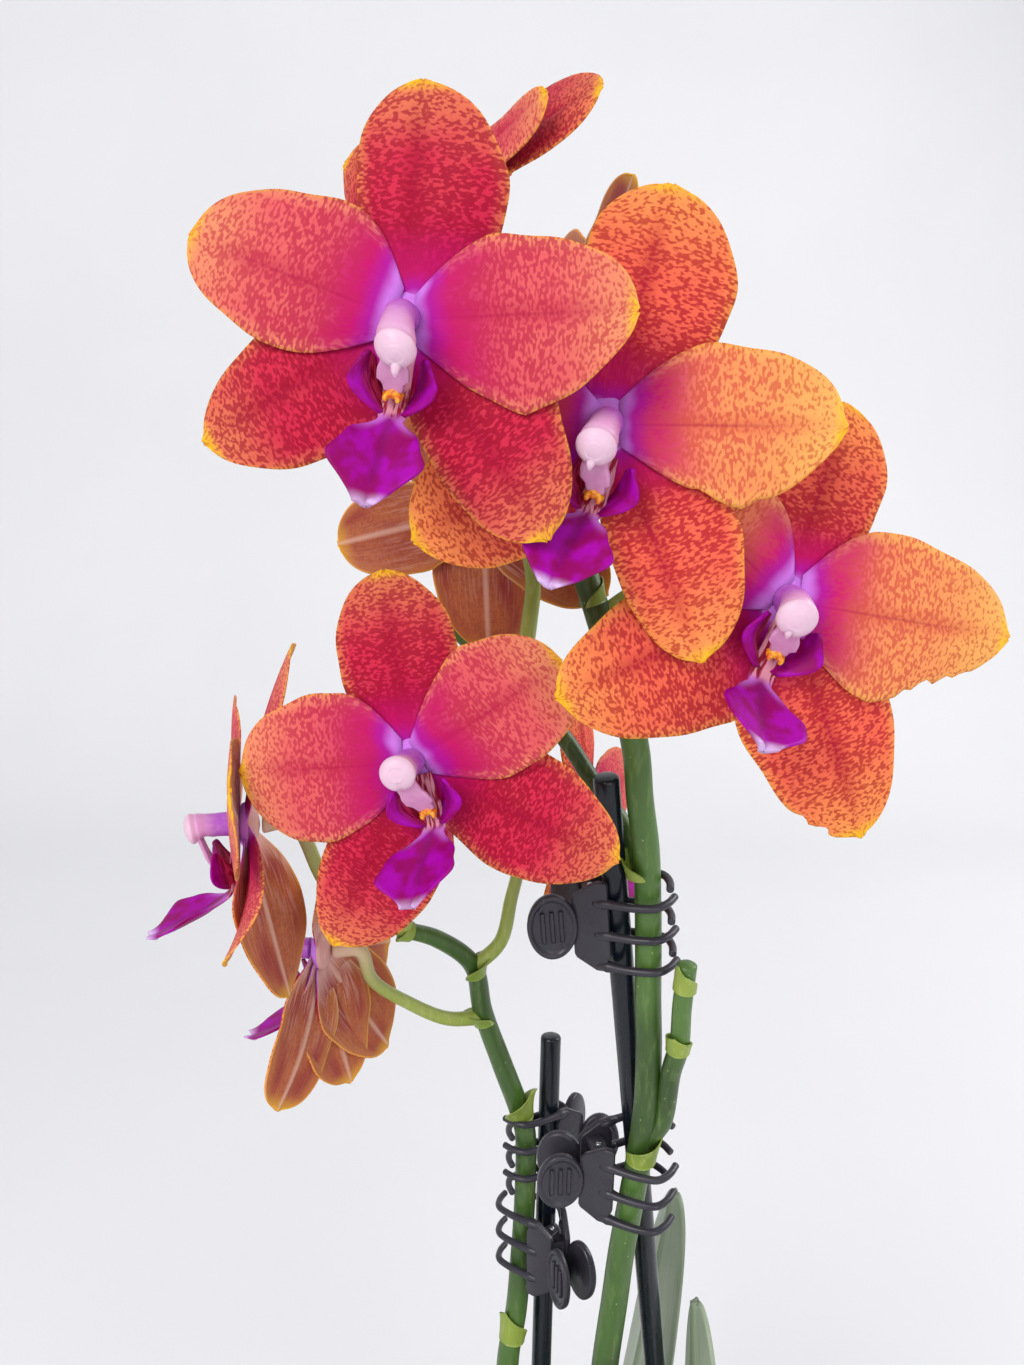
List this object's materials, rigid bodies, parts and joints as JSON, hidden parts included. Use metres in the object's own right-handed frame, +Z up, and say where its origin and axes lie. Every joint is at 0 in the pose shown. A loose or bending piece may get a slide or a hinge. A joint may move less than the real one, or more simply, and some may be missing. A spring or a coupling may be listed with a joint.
{
  "type": "potted moth orchid",
  "caption": "Moth orchid in a plain round pot: speckled orange blooms on arching flower spikes tied to canes with sprung claw clips, strap leaves and bark fill.",
  "frame": {"origin": "middle of the pot's flat foot, on the surface it stands on", "axes": "+Z up, the blooms face -Y, +X to the right seen from the front"},
  "size_m": [0.1707, 0.1597, 0.4588],
  "materials": {
    "tepal": "satin, speckled crimson over orange",
    "lip": "satin magenta",
    "column": "waxy white and pink",
    "stem": "smooth living green stem",
    "leaf": "waxy thick leaf",
    "cane": "smooth black coating",
    "clip": "satin charcoal plastic",
    "steel": "plain wire",
    "pot": "plain pale glaze",
    "bark": "rough bark chips",
    "root": "grey-green aerial root"
  },
  "bodies": {
    "root": {"bloom_1_tepals": "tepal", "bloom_1_lip": "lip", "bloom_1_column": "column", "bloom_2_tepals": "tepal", "bloom_2_lip": "lip", "bloom_2_column": "column", "bloom_3_tepals": "tepal", "bloom_3_lip": "lip", "bloom_3_column": "column", "bloom_4_tepals": "tepal", "bloom_4_lip": "lip", "bloom_4_column": "column", "bloom_5_tepals": "tepal", "bloom_5_lip": "lip", "bloom_5_column": "column", "bloom_6_tepals": "tepal", "bloom_6_lip": "lip", "bloom_6_column": "column", "bloom_7_tepals": "tepal", "bloom_7_lip": "lip", "bloom_7_column": "column", "bloom_8_tepals": "tepal", "bloom_8_lip": "lip", "bloom_8_column": "column", "bloom_9_tepals": "tepal", "bloom_9_lip": "lip", "bloom_9_column": "column", "bloom_10_tepals": "tepal", "bloom_10_lip": "lip", "bloom_10_column": "column", "spike_1": "stem", "spike_2": "stem", "cane_1": "cane", "cane_2": "cane", "clip_a_front": "clip", "clip_a_pin": "steel", "clip_a_spring": "steel", "clip_b_front": "clip", "clip_b_pin": "steel", "clip_b_spring": "steel", "clip_c_front": "clip", "clip_c_pin": "steel", "clip_c_spring": "steel", "clip_d_front": "clip", "clip_d_pin": "steel", "clip_d_spring": "steel", "leaf_1": "leaf", "leaf_2": "leaf", "leaf_3": "leaf", "leaf_4": "leaf", "leaf_5": "leaf", "pot": "pot", "roots": "root", "bark": "bark"},
    "clip_a_back": {"clip_a_back": "clip"},
    "clip_b_back": {"clip_b_back": "clip"},
    "clip_c_back": {"clip_c_back": "clip"},
    "clip_d_back": {"clip_d_back": "clip"}
  },
  "joints": [
    {"name": "clip_a_hinge", "type": "hinge", "parent": "root", "child": "clip_a_back", "pos_m": [0.005, -0.018, 0.314], "axis": [-0.0791, -0.1285, 0.9885], "range_deg": [0, 25], "stiffness_Nm_per_rad": 0.005, "springref_deg": -20.05},
    {"name": "clip_b_hinge", "type": "hinge", "parent": "root", "child": "clip_b_back", "pos_m": [0.0072, -0.0122, 0.257], "axis": [0.0099, -0.1676, 0.9858], "range_deg": [0, 15], "stiffness_Nm_per_rad": 0.005, "springref_deg": -20.05},
    {"name": "clip_c_hinge", "type": "hinge", "parent": "root", "child": "clip_c_back", "pos_m": [0.0025, 0.0233, 0.241], "axis": [0, -0.0599, -0.9982], "range_deg": [0, 25], "stiffness_Nm_per_rad": 0.005, "springref_deg": -20.05},
    {"name": "clip_d_hinge", "type": "hinge", "parent": "root", "child": "clip_d_back", "pos_m": [-0.0009, 0.011, 0.219], "axis": [0, -0.0599, -0.9982], "range_deg": [0, 15], "stiffness_Nm_per_rad": 0.005, "springref_deg": -20.05}
  ]
}
